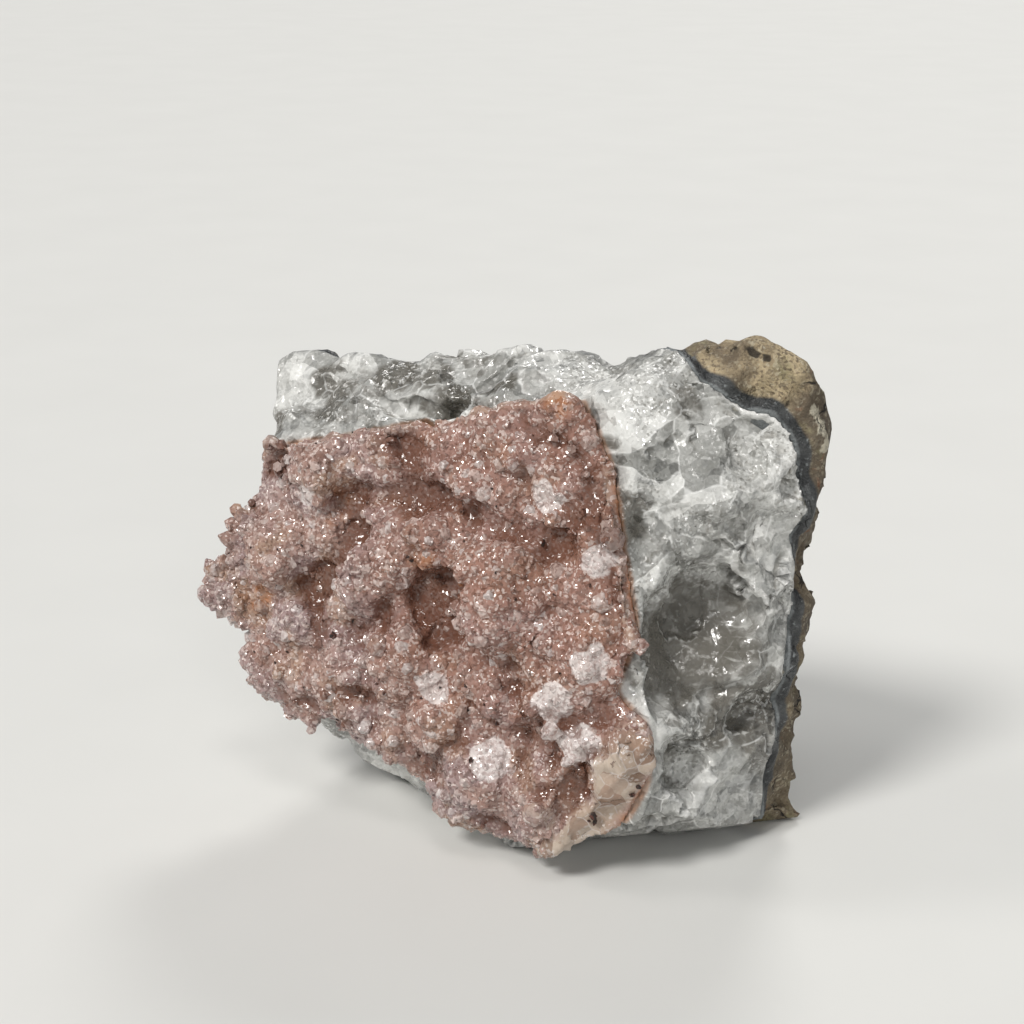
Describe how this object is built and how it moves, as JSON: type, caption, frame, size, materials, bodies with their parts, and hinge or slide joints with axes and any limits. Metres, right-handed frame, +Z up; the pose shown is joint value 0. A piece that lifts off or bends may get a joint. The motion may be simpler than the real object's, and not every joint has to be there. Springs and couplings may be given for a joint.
{
  "type": "amethyst cluster",
  "caption": "Hand-sized mineral specimen: a druse of small pink amethyst crystals over rounded lumps, on massive quartz with a rind of banded host rock, standing on its flat foot.",
  "frame": {"origin": "centre of the object's box, on the surface that it stands on", "axes": "+Z up, -Y out of the crystal face, +Y out of the rock at the back, +X to the right of the crystal face"},
  "size_m": [0.108, 0.057, 0.0898],
  "materials": {
    "pink_amethyst": "sparkling crystal faces, see-through at the tips",
    "massive_quartz": "broken, glassy to milky",
    "host_rock": null
  },
  "bodies": {
    "root": {"amethyst_crust": "pink_amethyst", "quartz_body": "massive_quartz", "rock_rind": "host_rock"}
  },
  "joints": []
}
